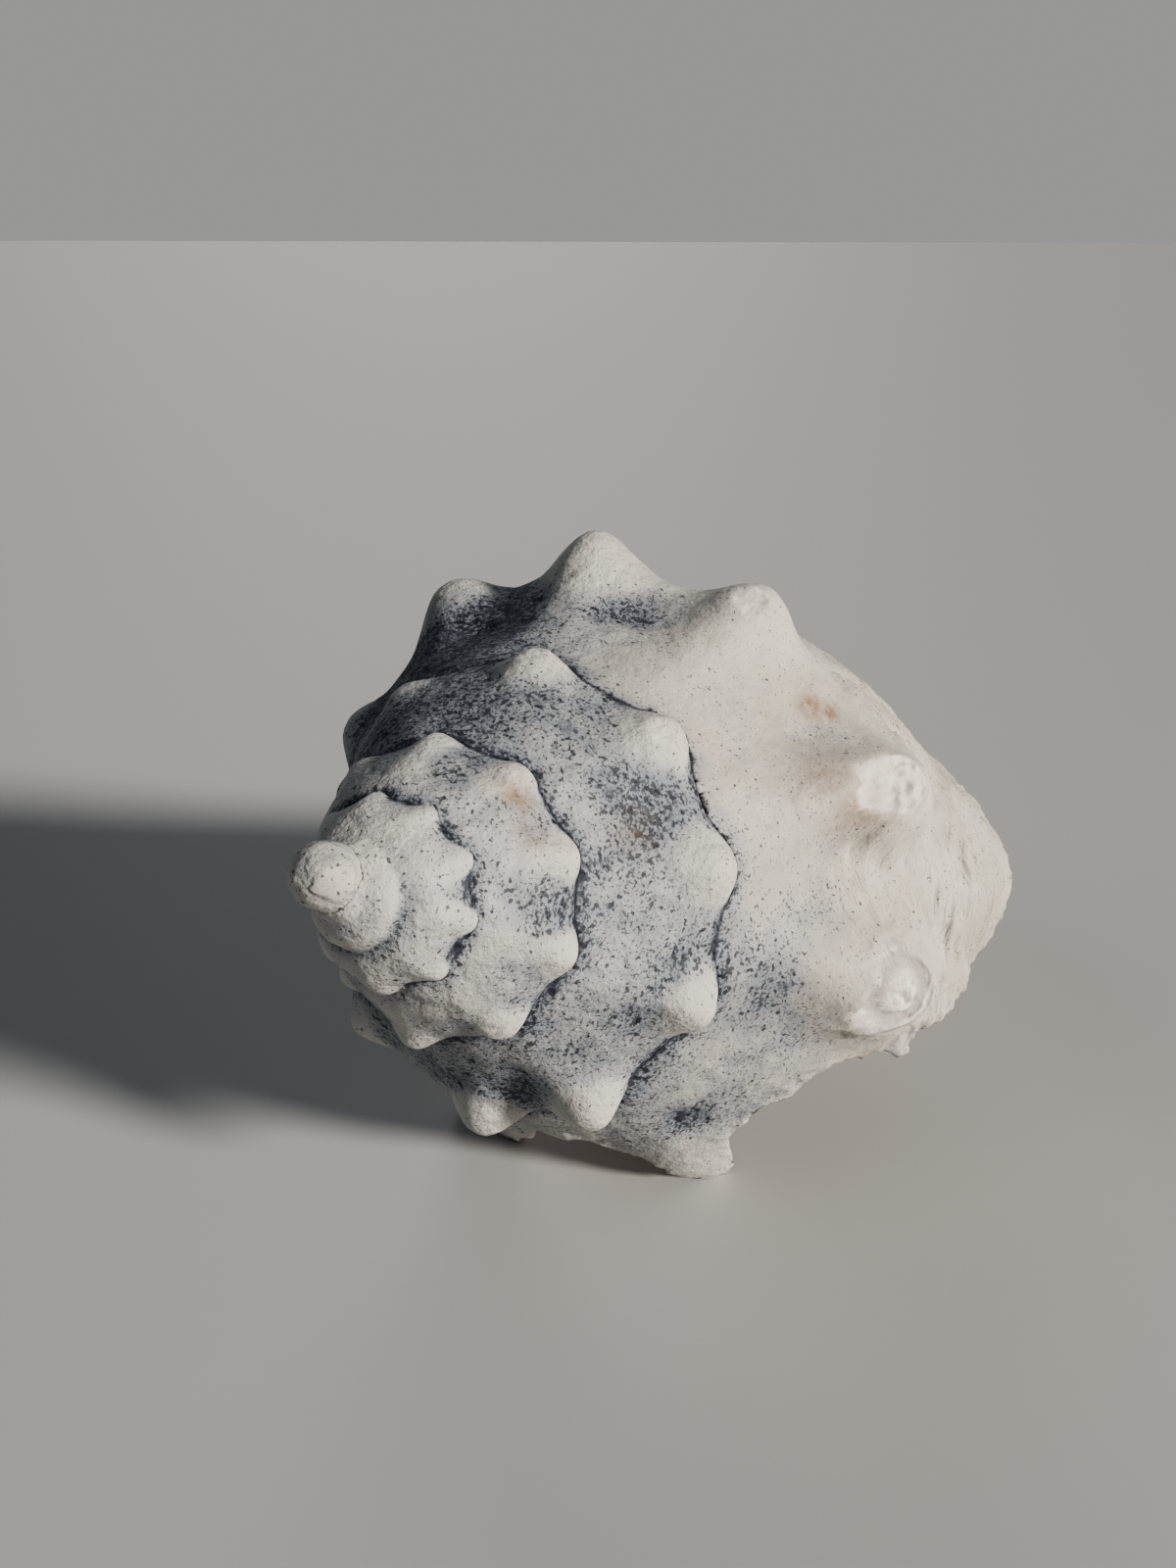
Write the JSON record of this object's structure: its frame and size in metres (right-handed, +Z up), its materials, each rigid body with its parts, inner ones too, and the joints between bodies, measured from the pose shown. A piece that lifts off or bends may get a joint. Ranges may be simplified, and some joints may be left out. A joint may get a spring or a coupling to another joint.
{
  "type": "conch shell",
  "caption": "Worn, sea-bleached spiral conch shell with blunt shoulder knobs, a broken lip and an open aperture, lying on its lip.",
  "frame": {"origin": "on the surface that the shell lies on, under the middle of its box", "axes": "+Z up; +Y level along the shell, from the apex towards the canal; +X towards the wing of the lip"},
  "size_m": [0.1022, 0.1542, 0.0998],
  "materials": {
    "shell": "matt, chalky, worn, with blue-grey speckles"
  },
  "bodies": {
    "root": {"shell": "shell"}
  },
  "joints": []
}
